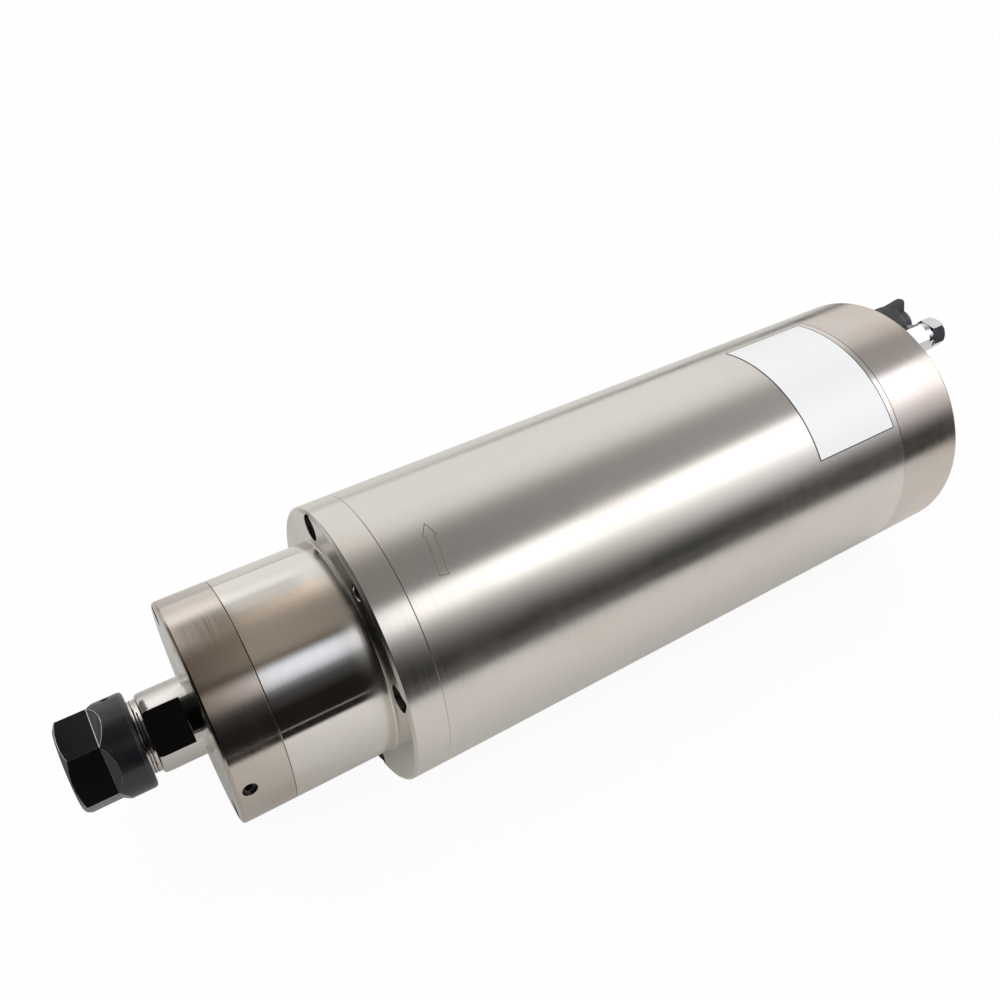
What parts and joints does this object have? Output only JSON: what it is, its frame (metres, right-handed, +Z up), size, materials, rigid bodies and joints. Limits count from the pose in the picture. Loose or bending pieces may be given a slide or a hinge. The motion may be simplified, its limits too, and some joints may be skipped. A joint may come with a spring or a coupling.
{
  "type": "motor spindle",
  "caption": "Cylindrical water-cooled drilling motor spindle with a bolted flange, a collet nut on a flatted shaft, a rear connector under a dust cap and hose fittings.",
  "frame": {"origin": "centre of the flange's front face, on the spindle's axis", "axes": "+X along the spindle's axis towards the rear, so the collet nut points to -X; +Z up, with the rear connector at the top"},
  "size_m": [0.3852, 0.105, 0.105],
  "materials": {
    "polished_steel": "turned and polished stainless steel",
    "warm_steel": "turned steel with a faint straw tint",
    "black_oxide": "black oxide with edges worn bright",
    "ground_steel": "ground steel",
    "spring_steel": "hardened and ground steel",
    "turned_steel": "turned steel",
    "bearing_steel": "polished bearing steel",
    "dark_screws": "blackened socket screws",
    "laminations": "varnished steel laminations",
    "cast_aluminium": "cast and turned aluminium",
    "copper": "varnished copper windings",
    "seal_rubber": "black nitrile rubber",
    "cap_rubber": "dull black rubber",
    "cage_resin": "brown phenolic resin",
    "lead_insulation": "silicone insulation",
    "black_anodised": "black anodised",
    "connector_plastic": "black moulded plastic",
    "brass": "turned brass",
    "chrome": "bright nickel plate"
  },
  "bodies": {
    "housing": {"outer_tube": "polished_steel", "front_housing": "polished_steel", "flange_screws": "dark_screws", "front_cover": "warm_steel", "cover_screws": "dark_screws", "grease_screw": "dark_screws", "front_o_ring": "seal_rubber", "bearing_a_outer": "bearing_steel", "bearing_b_outer": "bearing_steel", "outer_spacer": "turned_steel", "stator_core": "laminations", "stator_windings": "copper", "water_jacket": "cast_aluminium", "jacket_o_rings": "seal_rubber", "rear_bearing_plate": "turned_steel", "wave_spring": "spring_steel", "rear_bearing_outer": "bearing_steel", "rear_bearing_cover": "turned_steel", "rear_cap": "warm_steel", "rear_cap_screws": "dark_screws", "port_seals": "seal_rubber", "motor_leads": "lead_insulation", "connector_shell": "black_anodised", "connector_nut": "turned_steel", "connector_insert": "connector_plastic", "connector_pins": "brass", "fitting_body_a": "chrome", "fitting_body_b": "chrome"},
    "spindle": {"spindle_shaft": "ground_steel", "front_lock_nut": "turned_steel", "bearing_a_inner": "bearing_steel", "bearing_b_inner": "bearing_steel", "inner_spacer": "turned_steel", "rotor_core": "laminations", "rotor_cage": "cast_aluminium", "rear_bearing_inner": "bearing_steel", "rear_lock_nut": "turned_steel"},
    "cage_a": {"bearing_a_balls": "bearing_steel", "bearing_a_cage": "cage_resin"},
    "cage_b": {"bearing_b_balls": "bearing_steel", "bearing_b_cage": "cage_resin"},
    "rear_cage": {"rear_bearing_balls": "bearing_steel", "rear_bearing_cage": "cage_resin"},
    "chuck_collet": {"collet": "spring_steel"},
    "chuck_nut": {"collet_nut": "black_oxide"},
    "connector_cap": {"dust_cap": "cap_rubber"},
    "clamp_ring_a": {"ferrule_a": "brass"},
    "hose_nut_body_a": {"hose_nut_a": "chrome"},
    "clamp_ring_b": {"ferrule_b": "brass"},
    "hose_nut_body_b": {"hose_nut_b": "chrome"}
  },
  "joints": [
    {"name": "spindle_spin", "type": "hinge", "parent": "housing", "child": "spindle", "pos_m": [0, 0, 0], "axis": [1, 0, 0], "continuous": true},
    {"name": "cage_a_spin", "type": "hinge", "parent": "housing", "child": "cage_a", "pos_m": [-0.026, 0, 0], "axis": [1, 0, 0], "continuous": true},
    {"name": "cage_b_spin", "type": "hinge", "parent": "housing", "child": "cage_b", "pos_m": [-0.002, 0, 0], "axis": [1, 0, 0], "continuous": true},
    {"name": "rear_cage_spin", "type": "hinge", "parent": "housing", "child": "rear_cage", "pos_m": [0.219, 0, 0], "axis": [1, 0, 0], "continuous": true},
    {"name": "collet_draw", "type": "slide", "parent": "spindle", "child": "chuck_collet", "axis": [-1, 0, 0], "range_m": [0, 0.00301]},
    {"name": "nut_turn", "type": "hinge", "parent": "chuck_collet", "child": "chuck_nut", "pos_m": [-0.085, 0, 0], "axis": [-1, 0, 0], "range_deg": [0, 720]},
    {"name": "cap_pull", "type": "slide", "parent": "housing", "child": "connector_cap", "axis": [1, 0, 0], "range_m": [0, 0.018]},
    {"name": "ring_a_slide", "type": "slide", "parent": "housing", "child": "clamp_ring_a", "axis": [1, 0, 0], "range_m": [0, 0.00201]},
    {"name": "hose_nut_a_turn", "type": "hinge", "parent": "clamp_ring_a", "child": "hose_nut_body_a", "pos_m": [0.278, -0.00982, 0.04238], "axis": [1, 0, 0], "range_deg": [0, 720]},
    {"name": "ring_b_slide", "type": "slide", "parent": "housing", "child": "clamp_ring_b", "axis": [1, 0, 0], "range_m": [0, 0.00201]},
    {"name": "hose_nut_b_turn", "type": "hinge", "parent": "clamp_ring_b", "child": "hose_nut_body_b", "pos_m": [0.278, 0.04238, 0.00979], "axis": [1, 0, 0], "range_deg": [0, 720]}
  ],
  "couplings": [
    {"joint": "cage_a_spin", "follows": "spindle_spin", "ratio": 0.4},
    {"joint": "cage_b_spin", "follows": "spindle_spin", "ratio": 0.4},
    {"joint": "rear_cage_spin", "follows": "spindle_spin", "ratio": 0.4},
    {"joint": "collet_draw", "follows": "nut_turn", "m_per_rad": 0.00023873},
    {"joint": "ring_a_slide", "follows": "hose_nut_a_turn", "m_per_rad": 0.00015915},
    {"joint": "ring_b_slide", "follows": "hose_nut_b_turn", "m_per_rad": 0.00015915}
  ]
}
